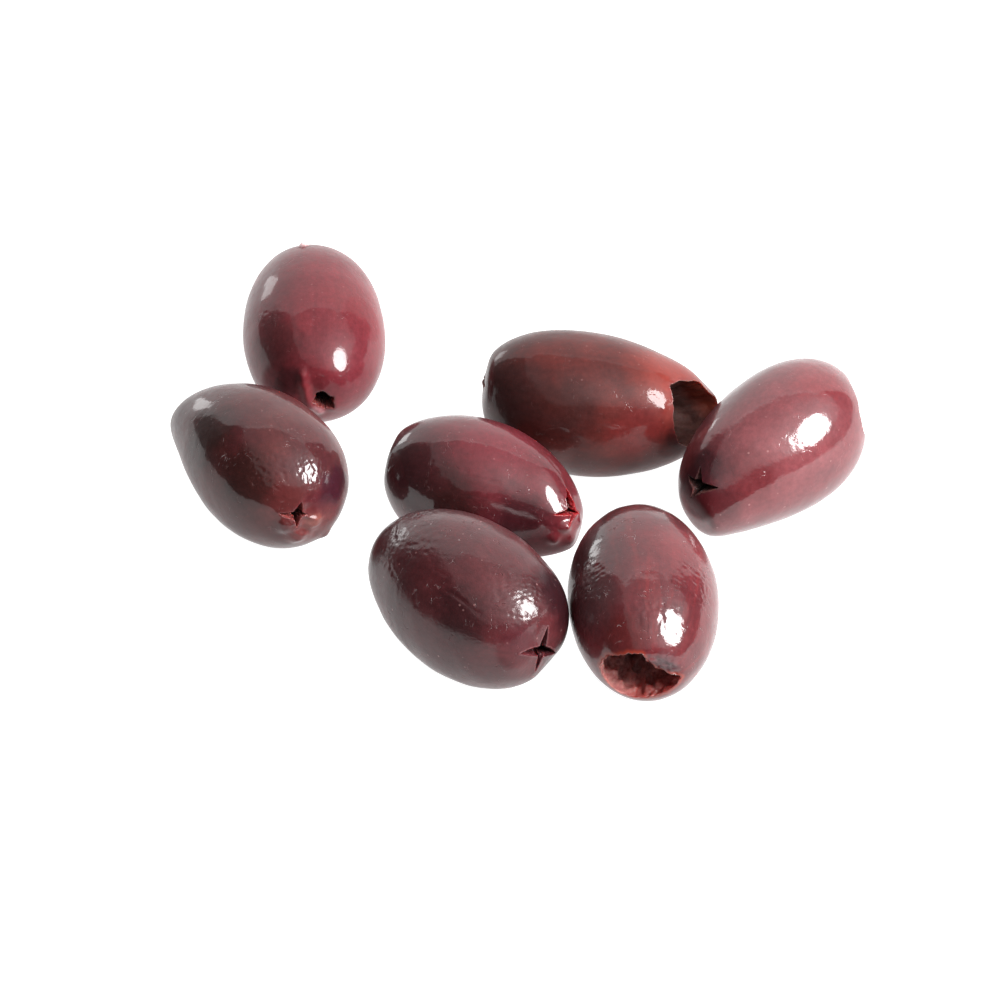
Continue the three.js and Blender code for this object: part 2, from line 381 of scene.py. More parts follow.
def dressed_end(olive, part, skin):
    """Lifts the flaps, rounds the cut edge and adds the wall that runs in to the hollow's bottom."""
    opening, turns, seed = part["opening"], part["turns"], part["seed"]
    place, out, _, _ = axis_of(olive, opening, part["end"])
    reach = np.linalg.norm(part["cut"], axis=-1)
    gap = rim_gap(part["cut"], part["cut"][0])
    gap[0] = 0.0
    lip = opening["lip"]
    inside = np.clip(lip - gap, 0.0, lip)
    lifted = np.sqrt(lip**2 - inside**2) - lip
    lifted = lifted + opening.get("curl", 0.0) * np.exp(-((gap / CURL_WIDTH) ** 2))
    if "flaps" in opening:
        lifts = np.zeros(turns.shape)
        hinge = np.zeros(turns.shape)
        arms = opening["arms"]
        for arm, (turn, length, _) in enumerate(arms):
            next_turn, next_length, _ = arms[(arm + 1) % len(arms)]
            width = math.radians((next_turn - turn) % 360)
            share = ((turns - math.radians(turn)) % (2.0 * np.pi)) / width
            ours = share < 1.0
            lifts[ours] = opening["flaps"][arm]
            hinge[ours] = HINGE_SHARE * (length + (next_length - length) * share[ours])
        lifted = lifted + lifts * smooth_step(0.0, 1.0, (hinge - reach) / hinge)
    if "tongue" in opening:
        _, _, inner, drop = opening["tongue"]
        share = np.clip((part["full"] - reach) / (part["full"] - inner), 0.0, 1.2)
        folds = ripples(skin, seed + 8, 0.45)
        lifted = lifted - drop * share**1.5 + 0.16 * folds * smooth_step(0.0, 0.4, share)
    skin = skin + lifted[..., None] * out
    edge = skin[0]
    height = (edge - place) @ out
    flat = edge - place - height[:, None] * out
    inward = -unit(flat)
    ring = WALL_ROUND * np.stack([np.cos(turns), np.sin(turns), 0.0 * turns], axis=-1)
    rows = []
    for share in np.linspace(0.0, 1.0, WALL_ROWS + 1)[1:]:
        depth = share**1.3
        if "arms" in opening:
            narrow = (1.0 - (1.0 - CUT_BOTTOM) * depth) * math.sqrt(max(0.0, 1.0 - depth**8))
        else:
            narrow = math.sqrt(max(0.0, 1.0 - depth**2.2))
        level = (1.0 - depth) * height - depth * opening["depth"]
        rough = opening.get("rough", 0.12) * min(1.0, 3.0 * share) * narrow
        inner_ring = ring + [0.0, 0.0, WALL_INWARD * share]
        folds = ripples(inner_ring, seed + 5, opening.get("folds", 0.5))
        rows.append(place + flat * narrow + level[:, None] * out + (rough * folds)[:, None] * inward)
    return skin, np.array(rows), gap


def grow_olive(olive):
    """The whole surface as rows from the bottom of the front hollow to that of the back one."""
    front = opened_end(olive, "front")
    back = opened_end(olive, "back")
    middle, middle_ways = skin_between(olive, front, back)
    skin = np.concatenate([front["skin"], middle, back["skin"][::-1]])
    ways = np.concatenate([front["ways"], middle_ways, back["ways"][::-1]])
    skin = skin + relief_on(olive, skin)[..., None] * outward_of(skin)
    front_skin, front_wall, front_gap = dressed_end(olive, front, skin[:CUT_ROWS])
    back_skin, back_wall, back_gap = dressed_end(olive, back, skin[-CUT_ROWS:][::-1])
    skin[:CUT_ROWS] = front_skin
    skin[-CUT_ROWS:] = back_skin[::-1]
    rows = np.concatenate([front_wall[::-1], skin, back_wall])
    gap = np.full(rows.shape[:2], 9.0)
    gap[WALL_ROWS:WALL_ROWS + CUT_ROWS] = front_gap
    gap[-WALL_ROWS - CUT_ROWS:-WALL_ROWS] = back_gap[::-1]
    gap[:WALL_ROWS] = 0.0
    gap[-WALL_ROWS:] = 0.0
    inward = np.linspace(0.0, 1.0, WALL_ROWS + 1)[1:, None]
    depth = np.zeros(rows.shape[:2])
    depth[:WALL_ROWS] = inward[::-1]
    depth[-WALL_ROWS:] = inward
    ways = np.concatenate([np.repeat(ways[:1], WALL_ROWS, 0), ways, np.repeat(ways[-1:], WALL_ROWS, 0)])
    return rows, ways, gap, depth


def laid_down(olive, rows):
    """Turns the olive to the way it lies and presses it a little into the table."""
    heading = math.radians(olive["heading"])
    pitch = math.radians(olive["pitch"])
    swing = np.array([
        [math.cos(heading), -math.sin(heading), 0.0],
        [math.sin(heading), math.cos(heading), 0.0],
        [0.0, 0.0, 1.0],
    ])
    tip = np.array([
        [math.cos(pitch), 0.0, -math.sin(pitch)],
        [0.0, 1.0, 0.0],
        [math.sin(pitch), 0.0, math.cos(pitch)],
    ])
    laid = rows @ (swing @ tip).T
    laid[..., 2] -= laid[..., 2].min() + SAG
    laid[..., 2] = np.maximum(laid[..., 2], 0.0)
    laid[..., :2] += np.array(olive["place"])
    return laid * MM


def with_middles(rows):
    """A grid's values in one list, with the means of its first and last rows at the end."""
    flat = rows.reshape((-1,) + rows.shape[2:])
    return np.concatenate([flat, rows[:1].mean(axis=1), rows[-1:].mean(axis=1)])


def olive_piece(olive, material):
    """Makes the olive's mesh, which also holds its own millimetres, its meridians and its cuts."""
    rows, ways, gap, depth = grow_olive(olive)
    count = rows.shape[0]
    corners = np.arange(count * COLUMNS).reshape(count, COLUMNS)
    after = np.roll(corners, -1, axis=1)
    quads = np.stack([corners[:-1], corners[1:], after[1:], after[:-1]], axis=-1).reshape(-1, 4)
    first = count * COLUMNS
    fans = [(first, int(corners[0, i]), int(after[0, i])) for i in range(COLUMNS)]
    fans += [(first + 1, int(after[-1, i]), int(corners[-1, i])) for i in range(COLUMNS)]
    mesh = bpy.data.meshes.new(olive["node"] + "_flesh")
    mesh.from_pydata(with_middles(laid_down(olive, rows)).tolist(), [], quads.tolist() + fans)
    mesh.polygons.foreach_set("use_smooth", [True] * len(mesh.polygons))
    sine = np.sqrt(np.clip(1.0 - ways[..., :1] ** 2, 1e-9, None))
    meridian = np.concatenate([ways[..., 1:] / sine, ways[..., :1]], axis=-1)
    for name, values in (("own_mm", rows), ("meridian", meridian)):
        layer = mesh.attributes.new(name, "FLOAT_VECTOR", "POINT")
        layer.data.foreach_set("vector", with_middles(values).astype(np.float32).ravel())
    for name, values in (("cut_mm", gap), ("hollow", depth)):
        layer = mesh.attributes.new(name, "FLOAT", "POINT")
        layer.data.foreach_set("value", with_middles(values).astype(np.float32))
    mesh.validate()
    piece = bpy.data.objects.new(olive["node"] + "_ripe", mesh)
    bpy.context.scene.collection.objects.link(piece)
    mesh.materials.append(material)
    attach(piece, "root")
    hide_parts(olive["node"])
    return piece


def colour(code):
    """A colour from its sRGB hex value, as the linear numbers that Blender works in."""
    parts = [int(code[i:i + 2], 16) / 255.0 for i in (0, 2, 4)]
    return tuple(p / 12.92 if p <= 0.04045 else ((p + 0.055) / 1.055) ** 2.4 for p in parts) + (1.0,)


def add_node(tree, kind, inputs=None, **settings):
    """Adds a node, sets its settings, and fills or links its inputs."""
    node = tree.nodes.new("ShaderNode" + kind)
    for name, value in settings.items():
        setattr(node, name, value)
    for name, value in (inputs or {}).items():
        socket = node.inputs[name]
        if isinstance(value, bpy.types.NodeSocket):
            tree.links.new(value, socket)
        else:
            socket.default_value = value
    return node


# Sizes of the skin's and the flesh's patterns, in millimetres.
FLECKS_APART = 1.25
MOTTLE_SIZE = 0.625
BORDER_SIZE = 2.86
WAVE_SIZE = 2.22
FIBRE_SIZE = 1.11
# Streaks run along the olive, about 2 mm wide and 12 mm long, and crease loops are about 2 by 3 mm.
STREAK_PITCH = (5.0, 5.0, 1.2)
CREASE_PITCH = (0.5, 0.3, 0.3)
# Patches smaller than this, in millimetres, wander less from their places.
STEADY_RADIUS = 3.0


def patch_share(tree, places, centre, radius, full_share, strength):
    """How strongly a round patch shows: nothing at its radius, all of it inside a share of that."""
    apart = add_node(tree, "VectorMath", {0: places, 1: centre}, operation="DISTANCE")
    return add_node(tree, "MapRange", {
        "Value": apart.outputs["Value"], "From Min": radius, "From Max": full_share * radius,
        "To Max": strength,
    }, interpolation_type="SMOOTHSTEP").outputs["Result"]


def with_patches(tree, base, own, drift, uneven, full_share, patches):
    """Lays soft-edged round patches of other colours over a base, with their borders drifting."""
    for centre, radius, tint, strength in patches:
        wander = uneven * min(1.0, radius / STEADY_RADIUS)
        drifted = add_node(tree, "VectorMath", {
            0: drift, 1: (wander, wander, wander), 2: own,
        }, operation="MULTIPLY_ADD").outputs["Vector"]
        base = add_node(tree, "Mix", {
            "Factor": patch_share(tree, drifted, centre, radius, full_share, strength),
            "A": base, "B": colour(tint),
        }, data_type="RGBA").outputs["Result"]
    return base


def brined_olive(name, look):
    """Skin of a brine-cured olive under a film of oil, with its torn, wetter flesh inside.

    The skin is thin and waxy, blotched from purple to red where the brine has bleached it. The
    waxy skin gives a dull, deep body colour, and the oil sharp, bright reflections over it."""
    material = bpy.data.materials.new(name)
    material.use_nodes = True
    tree = material.node_tree
    tree.nodes.clear()
    own = add_node(tree, "Attribute", attribute_name="own_mm").outputs["Vector"]
    meridian = add_node(tree, "Attribute", attribute_name="meridian").outputs["Vector"]
    cut = add_node(tree, "Attribute", attribute_name="cut_mm").outputs["Fac"]
    hollow = add_node(tree, "Attribute", attribute_name="hollow").outputs["Fac"]

    # Blotches of two tones, deeper streaks along the olive, and a fine mottle.
    blotch = add_node(tree, "TexNoise", {
        "Vector": own, "Scale": 1.0 / look["blotch_mm"], "Detail": 4.0, "Roughness": 0.6,
    })
    blotch = add_node(tree, "MapRange", {
        "Value": blotch.outputs["Fac"], "From Min": 0.38, "From Max": 0.62,
    })
    skin = add_node(tree, "Mix", {
        "Factor": blotch.outputs["Result"], "A": colour(look["deep"]), "B": colour(look["warm"]),
    }, data_type="RGBA").outputs["Result"]
    stretched = add_node(tree, "VectorMath", {0: meridian, 1: STREAK_PITCH}, operation="MULTIPLY")
    streak = add_node(tree, "TexNoise", {
        "Vector": stretched.outputs["Vector"], "Scale": 1.0, "Detail": 5.0, "Roughness": 0.6,
        "Distortion": 0.4,
    })
    streak = add_node(tree, "MapRange", {
        "Value": streak.outputs["Fac"], "From Min": 0.48, "From Max": 0.72, "To Max": look["streaks"],
    })
    skin = add_node(tree, "Mix", {
        "Factor": streak.outputs["Result"], "A": skin, "B": colour(look["streak"]),
    }, data_type="RGBA").outputs["Result"]

    # Patches of other colours, with uneven borders. Some are where the brine has left the skin redder or
    # darker; the dark ones on the sides turned from the key light, and low where olives stand close, are
    # painted shade.
    border = add_node(tree, "TexNoise", {
        "Vector": own, "Scale": 1.0 / BORDER_SIZE, "Detail": 4.0, "Roughness": 0.6,
    })
    drift = add_node(tree, "VectorMath", {
        0: border.outputs["Color"], 1: (-0.5, -0.5, -0.5),
    }, operation="ADD").outputs["Vector"]
    skin = with_patches(tree, skin, own, drift, look["uneven_mm"], 0.3, look["patches"])

    mottle = add_node(tree, "TexNoise", {
        "Vector": own, "Scale": 1.0 / MOTTLE_SIZE, "Detail": 4.0, "Roughness": 0.6,
    })
    mottle_share = add_node(tree, "MapRange", {
        "Value": mottle.outputs["Fac"], "From Min": 0.3, "From Max": 0.7, "To Min": 0.86, "To Max": 1.14,
    })
    skin = add_node(tree, "VectorMath", {
        0: skin, 1: mottle_share.outputs["Result"],
    }, operation="MULTIPLY").outputs["Vector"]
    pores = add_node(tree, "TexVoronoi", {"Vector": own, "Scale": 1.0 / FLECKS_APART, "Randomness": 1.0})
    pore_share = add_node(tree, "MapRange", {
        "Value": pores.outputs["Distance"], "From Min": 0.14, "From Max": 0.04, "To Max": look["flecks"],
    })
    chosen = add_node(tree, "MapRange", {
        "Value": pores.outputs["Color"], "From Min": 0.55, "From Max": 0.7,
    })
    pore_share = add_node(tree, "Math", {
        0: pore_share.outputs["Result"], 1: chosen.outputs["Result"],
    }, operation="MULTIPLY")
    skin = add_node(tree, "Mix", {
        "Factor": pore_share.outputs["Value"], "A": skin, "B": colour(look["fleck"]),
    }, data_type="RGBA").outputs["Result"]

    # Hair-fine creases across the skin, gathered in places, with their scuffed edges paler: partly the
    # scuffs' own colour, partly painted glints.
    slanted = add_node(tree, "VectorMath", {0: own, 1: CREASE_PITCH}, operation="MULTIPLY")
    lines = add_node(tree, "TexNoise", {
        "Vector": slanted.outputs["Vector"], "Scale": 1.0, "Detail": 2.0, "Roughness": 0.6, "Distortion": 0.5,
    })
    off_line = add_node(tree, "Math", {0: lines.outputs["Fac"], 1: 0.5}, operation="SUBTRACT")
    off_line = add_node(tree, "Math", {0: off_line.outputs["Value"]}, operation="ABSOLUTE")
    on_line = add_node(tree, "MapRange", {
        "Value": off_line.outputs["Value"], "From Min": 0.012, "From Max": 0.0,
    })
    gathered = add_node(tree, "MapRange", {
        "Value": border.outputs["Fac"], "From Min": 0.5, "From Max": 0.6,
    })
    broken = add_node(tree, "MapRange", {
        "Value": mottle.outputs["Fac"], "From Min": 0.5, "From Max": 0.56,
    })
    crease = add_node(tree, "Math", {
        0: on_line.outputs["Result"], 1: gathered.outputs["Result"],
    }, operation="MULTIPLY")
    crease = add_node(tree, "Math", {
        0: crease.outputs["Value"], 1: broken.outputs["Result"],
    }, operation="MULTIPLY")
    scuff_and_glint = add_node(tree, "Math", {
        0: crease.outputs["Value"], 1: look["scuffs_and_glints"],
    }, operation="MULTIPLY")
    skin = add_node(tree, "Mix", {
        "Factor": scuff_and_glint.outputs["Value"], "A": skin, "B": colour(look["fleck"]),
    }, data_type="RGBA").outputs["Result"]

    # The skin thins to a paler line at a cut, and the flesh darkens towards the bottom of a hollow, a painted
    # shade.
    near_cut = add_node(tree, "MapRange", {
        "Value": cut, "From Min": look["rim_mm"], "From Max": 0.1, "To Max": look["rim_strength"],
    }, interpolation_type="SMOOTHSTEP")
    skin = add_node(tree, "Mix", {
        "Factor": near_cut.outputs["Result"], "A": skin, "B": colour(look["rim"]),
    }, data_type="RGBA").outputs["Result"]
    fibres = add_node(tree, "TexNoise", {
        "Vector": own, "Scale": 1.0 / FIBRE_SIZE, "Detail": 6.0, "Roughness": 0.7,
    })
    fibre_share = add_node(tree, "MapRange", {
        "Value": fibres.outputs["Fac"], "From Min": 0.38, "From Max": 0.62,
    })
    flesh = add_node(tree, "Mix", {
        "Factor": fibre_share.outputs["Result"], "A": colour(look["flesh"]), "B": colour(look["flesh_light"]),
    }, data_type="RGBA").outputs["Result"]
    flesh = with_patches(tree, flesh, own, drift, 0.0, 0.5, look["flesh_patches"])
    hollow_shade = add_node(tree, "MapRange", {
        "Value": hollow, "From Min": look["dark_from"], "From Max": look["dark_to"],
    }, interpolation_type="SMOOTHSTEP")
    flesh = add_node(tree, "Mix", {
        "Factor": hollow_shade.outputs["Result"], "A": flesh, "B": colour(look["inside"]),
    }, data_type="RGBA").outputs["Result"]
    bare = add_node(tree, "MapRange", {"Value": cut, "From Min": 0.16, "From Max": 0.04}).outputs["Result"]
    base = add_node(tree, "Mix", {"Factor": bare, "A": skin, "B": flesh}, data_type="RGBA")

    # Fine pebbling, the creases, soft waves and, in the hollow, the torn flesh. The real pebbling is
    # about 0.2 mm wide, and is drawn twice as coarse, so that it shows in the highlights.
    fine = add_node(tree, "TexNoise", {
        "Vector": own, "Scale": 1.0 / look["pebble_size"], "Detail": 3.0, "Roughness": 0.55,
    })
    bump = add_node(tree, "Bump", {
        "Height": fine.outputs["Fac"], "Strength": 1.0, "Distance": look["pebble_mm"] * MM,
    })
    bump = add_node(tree, "Bump", {
        "Height": crease.outputs["Value"], "Strength": 1.0, "Distance": -look["crease_mm"] * MM,
        "Normal": bump.outputs["Normal"],
    })
    wavy = add_node(tree, "TexNoise", {
        "Vector": own, "Scale": 1.0 / WAVE_SIZE, "Detail": 2.0, "Roughness": 0.5,
    })
    bump = add_node(tree, "Bump", {
        "Height": wavy.outputs["Fac"], "Strength": 1.0, "Distance": look["wavy_mm"] * MM,
        "Normal": bump.outputs["Normal"],
    })
    torn = add_node(tree, "Math", {0: fibres.outputs["Fac"], 1: bare}, operation="MULTIPLY")
    bump = add_node(tree, "Bump", {
        "Height": torn.outputs["Value"], "Strength": 1.0, "Distance": look["torn_mm"] * MM,
        "Normal": bump.outputs["Normal"],
    })

    # The oil has run off in places, which leaves the skin there dull.
    film = look["oil"]
    for centre, radius, strength in look["dry"]:
        share = patch_share(tree, own, centre, radius, 0.7, strength)
        film = add_node(tree, "Mix", {
            "Factor": share, "A": film, "B": 0.0,
        }, data_type="FLOAT").outputs["Result"]

    rough = add_node(tree, "MapRange", {
        "Value": mottle.outputs["Fac"], "From Min": 0.3, "From Max": 0.7,
        "To Min": look["rough"] - 0.05, "To Max": look["rough"] + 0.07,
    })
    soft = add_node(tree, "MapRange", {
        "Value": bare, "To Min": look["soft"], "To Max": look["flesh_soft"],
    })
    # The waxy skin itself hardly shines. The oil's IOR is raised over its real 1.47, which gives the
    # strong reflections of a thick, uneven film.
    shader = add_node(tree, "BsdfPrincipled", {
        "Base Color": base.outputs["Result"],
        "Roughness": rough.outputs["Result"],
        "IOR": 1.45,
        "Specular IOR Level": 0.1,
        "Subsurface Weight": soft.outputs["Result"],
        "Subsurface Radius": (1.0, 0.35, 0.3),
        "Subsurface Scale": 0.0012,
        "Coat Weight": film,
        "Coat Roughness": look["oil_rough"],
        "Coat IOR": 1.7,
        "Normal": bump.outputs["Normal"],
        "Coat Normal": bump.outputs["Normal"],
    })
    add_node(tree, "OutputMaterial", {"Surface": shader.outputs["BSDF"]})
    return material


# A look's names in _mm are depths or widths in millimetres, and pebble_size is in millimetres
# too. Patches have a centre, a radius, a colour and a strength, and dry places a centre, a
# radius and a strength.
# Rosy skin, still firm and smooth under thin oil: a broad soft sheen and one crisp highlight.
ROSY_LOOK = {
    "deep": "561D23", "warm": "642228", "blotch_mm": 8.0, "streak": "481A20", "streaks": 0.4,
    "patches": (
        ((2.5, 4.6, 7.1), 5.0, "5A2226", 0.6),
        ((11.1, 4.7, 2.5), 6.0, "5A1E25", 0.85),
        # The two darker patches on the left side, turned from the key light, are painted shade.
        ((8.3, -5.0, 5.2), 5.5, "401E20", 0.75), ((12.2, -3.8, 2.2), 3.0, "2C1618", 0.8),
        ((12.7, -1.5, 1.0), 2.0, "6A282C", 0.6), ((13.0, -0.1, -1.9), 1.2, "9A686C", 0.8),
        ((-9.5, -0.8, 6.8), 1.0, "E0C0C0", 1.0),
    ),
    "dry": (((12.0, -4.2, 0.8), 4.2, 0.9), ((4.6, 6.0, 5.6), 3.6, 0.45)),
    "uneven_mm": 5.0, "fleck": "B88A88", "flecks": 0.1,
    "rim": "5A2428", "rim_mm": 0.5, "rim_strength": 0.3,
    "flesh": "5A2A2A", "flesh_light": "7A3A38", "flesh_soft": 0.3, "flesh_patches": (),
    # inside is the painted shade that the flesh darkens to towards the bottom of a hollow.
    "inside": "3A2422", "dark_from": 0.05, "dark_to": 0.5,
    "pebble_size": 0.455, "pebble_mm": 0.01, "crease_mm": 0.02, "scuffs_and_glints": 0.03, "wavy_mm": 0.05,
    "torn_mm": 0.15,
    "rough": 0.42, "soft": 0.1, "oil": 0.34, "oil_rough": 0.07,
}
olive_piece(back_left, brined_olive("rosy_brined_olive", ROSY_LOOK))


# ---- Olive at the left ----
# A brown-purple olive whose far end is drawn out to a point. The flaps at its near end are torn
# and bent, so the redder flesh and the dark hollow show between them.
left = {
    "node": "olive_left", "slot": "brown_purple_olive_skin", "seed": 12,
    "place": (-30.9, 1.1), "heading": -56.3, "pitch": -0.6,
    "length": 26.1, "width": 17.1, "taper": 0.15, "blunt": (0.98, 0.95), "squash": 0.975,
    "bend": -0.15, "arch": -0.05, "front_lean": (-0.1, -0.15), "back_lean": (-2.8, -0.3),
    "lumps": ((9.0, 0.05), (3.0, 0.03), (1.5, 0.012), (0.8, 0.005)),
    "swellings": (
        ((12.6, -0.4, -0.5), 0.9, 0.6), ((12.0, -4.0, -0.1), 1.0, 0.6),
        ((12.3, -2.3, -2.2), 1.0, 0.5), ((11.4, 1.8, -4.1), 0.8, 0.35),
    ),
    "wrinkles": (
        ((12.4, -2.0, -0.6), 3.5, 0.9, 0.15),
        ((8.4, -4.0, 5.8), 3.5, 0.4, 0.05), ((10.5, 0.5, 5.5), 3.0, 0.4, 0.05),
    ),
    "front": {
        "turn": -11, "lift": 3, "centre": (-0.1, 0.4), "patch": 4.6, "heart": 0.7, "depth": 3.5,
        "lip": 0.25, "curl": 0.12,
        "arms": ((-95, 1.6, 0.4), (-15, 1.2, 0.3), (65, 1.7, 0.5), (168, 2.0, 0.4)),
        "flaps": (0.4, 0.15, 0.1, 0.4),
    },
    "back": dict(PUNCHED_HOLE, turn=-8, lift=0, centre=(-0.7, -0.4)),
}
# Brown-purple skin, lightly creased near the cut, which breaks the highlight into glints.
BROWN_PURPLE_LOOK = dict(
    ROSY_LOOK, deep="3C1619", warm="4A2020", streak="301214",
    patches=(
        ((11.1, -4.1, 3.1), 4.5, "4A1C1C", 0.8),
        ((12.5, 1.4, 1.6), 4.5, "4A1A20", 0.7),
        # The two dark patches high on the left side, turned from the key light, are painted shade.
        ((-1.5, -6.0, 5.2), 5.5, "26110F", 0.85), ((6.5, -6.3, 3.8), 5.5, "28110F", 0.85),
        ((11.4, 3.9, 2.5), 3.4, "240C14", 0.8),
        ((12.5, -1.0, -1.6), 3.8, "5C2A2A", 0.8), ((12.8, -0.5, -0.5), 1.6, "74443E", 0.7),
        ((11.5, 2.6, 2.6), 3.5, "32101A", 0.7),
    ),
    dry=(((12.2, 1.6, 0.8), 3.2, 0.6),),
    oil=0.4, pebble_mm=0.012, crease_mm=0.05, scuffs_and_glints=0.08, oil_rough=0.05,
)
olive_piece(left, brined_olive("brown_purple_brined_olive", BROWN_PURPLE_LOOK))


# ---- Long olive at the back ----
# A long olive, dark brown and turning brick red at its right end, where the end is torn off and
# the hollow that the stone left stands open between thin walls.
back_middle = {
    "node": "olive_back_middle", "slot": "red_brown_olive_skin", "seed": 13,
    "place": (10.1, 11.9), "heading": -3.3, "pitch": -6.9,
    "length": 29.7, "width": 17.6, "taper": -0.165, "blunt": (1.06, 0.93), "squash": 0.97,
    "bend": 0.3, "arch": 0.15, "front_lean": (0.85, 0.3), "back_lean": (0.7, 0.2),
    "lumps": ((9.0, 0.05), (3.5, 0.03), (1.5, 0.01), (0.8, 0.003)),
    "swellings": (
        ((5.9, -3.5, 6.3), 4.5, 0.35), ((7.9, -2.2, 6.2), 0.5, 0.1), ((7.1, -5.2, 4.6), 0.5, 0.1),
        ((-3.6, -8.6, 2.3), 1.2, 0.15), ((-14.2, 1.8, 0.0), 0.6, 0.3), ((13.4, 1.9, 3.4), 2.2, -0.6),
    ),
    "creases": (((5.7, -1.8, 7.1), (6.3, -6.2, 4.1), 3.5, -0.35),),
    "front": {
        "turn": -28, "lift": 31, "mouth": (11.3, -1.8, 2.5), "patch": 6.4, "depth": 8.0, "lip": 0.2,
        "rim": (
            (-169, 4.6), (-120, 4.4), (-60, 4.4), (-7, 4.7), (6, 4.3), (24, 4.0), (49, 3.6),
            (78, 3.6), (110, 4.6), (118, 5.2), (126, 4.8), (137, 4.5), (152, 4.5), (166, 4.65),
        ),
        "eased": 2, "ragged": 0.1, "rough": 0.16, "folds": 0.8,
    },
    "back": {
        "turn": 3, "lift": 2, "patch": 4.4, "heart": 0.7, "depth": 5.0, "lip": 0.2,
        "arms": ((-110, 1.7, 0.3), (-20, 1.8, 0.3), (70, 1.6, 0.3), (160, 1.9, 0.3)),
        "flaps": (0.05, 0.0, 0.1, 0.05),
    },
}
# Ripe skin bleached brick red towards the open end, smooth, with thin oil and a mild sheen.
RED_BROWN_LOOK = dict(
    ROSY_LOOK, deep="3E1816", warm="501D1A", streak="301413",
    patches=(
        ((9.0, -1.0, 7.0), 8.5, "6E2A24", 0.9),
        ((4.7, -7.4, 2.7), 5.0, "521818", 0.7),
        # The dark patch on the front, left of the middle, is painted shade.
        ((-5.1, -7.6, 4.3), 6.0, "281312", 0.7),
        ((-11.5, -4.5, 4.0), 6.0, "2E1B1B", 0.75),
        # The dark patch low on the front by the hole is painted shade, towards the shaded gap to the olives
        # in front.
        ((9.6, -6.2, 0.6), 2.8, "2A1010", 0.8),
    ),
    flesh="603E3A", flesh_light="7A544E", flesh_patches=(((12.8, 2.0, 3.0), 4.5, "8A3A28", 0.8),),
    inside="4E3632", dark_from=0.3, dark_to=0.9,
    dry=(((9.6, -6.2, 0.2), 3.0, 0.7), ((1.0, -8.3, -2.2), 5.0, 0.4)), oil=0.26, oil_rough=0.05,
)
olive_piece(back_middle, brined_olive("red_brown_brined_olive", RED_BROWN_LOOK))


# ---- Olive in the middle ----
# A crimson olive, dark at both ends, with the four flaps of its cut pushed out at the right
# end. Its lower left side lies behind the olive at the front left.
middle = {
    "node": "olive_middle", "slot": "crimson_olive_skin", "seed": 14,
    "place": (-3.7, -4.0), "heading": -17.8, "pitch": -6.8,
    "length": 25.6, "width": 16.4, "taper": -0.12, "blunt": (1.03, 0.93), "squash": 0.97,
    "bend": -0.7, "arch": -0.3, "front_lean": (-1.35, -0.45), "back_lean": (1.25, 0.4),
    "lumps": ((9.0, 0.05), (3.5, 0.03), (1.5, 0.01), (0.8, 0.003)),
    "swellings": (
        ((11.6, -2.2, 1.0), 0.8, 0.6), ((11.0, -4.2, 1.6), 0.7, 0.6), ((10.1, -5.2, 0.2), 0.7, 0.6),
        ((11.5, -3.6, -0.6), 0.8, 0.4),
    ),
    "creases": (
        ((7.3, -0.6, 6.2), (9.1, -4.6, 3.0), 3.0, -0.6),
        ((-6.0, -4.6, 5.8), (-1.5, -5.0, 6.2), 0.25, 0.05),
        ((-2.5, -5.4, 5.8), (2.5, -4.9, 5.9), 0.2, 0.04),
    ),
    "front": {
        "turn": -15, "lift": 13, "centre": (0.55, 0.2), "patch": 4.4, "heart": 0.4, "depth": 3.0,
        "lip": 0.2, "curl": 0.1,
        "arms": ((-140, 2.0, 0.15), (-40, 1.3, 0.2), (62, 2.3, 0.7), (168, 2.1, 0.3)),
        "flaps": (0.5, 0.1, 0.05, 0.35),
    },
    "back": dict(PUNCHED_HOLE, turn=4, lift=0, centre=(0.8, 0.2)),
}
# Crimson skin, taut and well oiled, so the lights show in it with sharp edges.
CRIMSON_LOOK = dict(
    ROSY_LOOK, deep="4A171C", warm="551D23", streak="331114",
    patches=(
        ((0.7, 0.2, 8.0), 7.0, "591B23", 0.7),
        # The dark patches on the left and low along the front, turned from the key light and towards the
        # olives in front, are painted shade; the one at the left end is partly the end's own dark skin.
        ((-8.4, -5.2, 4.1), 8.0, "2C1416", 0.85),
        ((-2.0, -7.2, 2.0), 6.0, "26100F", 0.85),
        ((6.0, -6.3, 2.5), 5.0, "260C10", 0.8), ((11.2, -3.6, 0.8), 2.4, "7A2A30", 0.7),
    ),
    dry=(((9.3, -5.2, -3.4), 5.2, 0.85),),
    rim="5A141A", flesh="78141A", flesh_light="8E1C20", inside="38100F",
    oil=0.5, crease_mm=0.03, oil_rough=0.05,
)
olive_piece(middle, brined_olive("crimson_brined_olive", CRIMSON_LOOK))


# ---- Olive at the right ----
# The palest olive, pinkish red, lying with its four-armed cut towards the near left and the flat
# face of its round hole at the far right.
right = {
    "node": "olive_right", "slot": "pink_olive_skin", "seed": 15,
    "place": (30.15, 3.3), "heading": 220.2, "pitch": -9.8,
    "length": 27.7, "width": 17.0, "taper": -0.195, "blunt": (0.78, 1.03), "squash": 0.97,
    "bend": 0.1, "arch": -0.1, "front_lean": (1.95, -0.15), "back_lean": (-1.7, 0.25),
    "facet": (25, 0, -1, 11.85, 0.1),
    "lumps": ((9.0, 0.05), (3.5, 0.03), (1.3, 0.01), (0.8, 0.003)),
    "swellings": (((2.9, 6.3, 5.3), 5.0, 0.15),),
    "front": {
        "turn": 7, "lift": 19, "centre": (-0.1, -0.5), "patch": 4.8, "heart": 0.7, "depth": 3.0,
        "lip": 0.2, "curl": 0.03,
        "arms": ((-110, 1.6, 0.4), (15, 2.2, 0.5), (122, 2.2, 0.45), (172, 2.4, 0.4)),
        "flaps": (0.05, 0.0, 0.05, 0.05),
    },
    "back": dict(PUNCHED_HOLE, turn=25, lift=0, mouth=(-10.9, 4.6, 0.8), patch=4.0, lip=0.25),
}
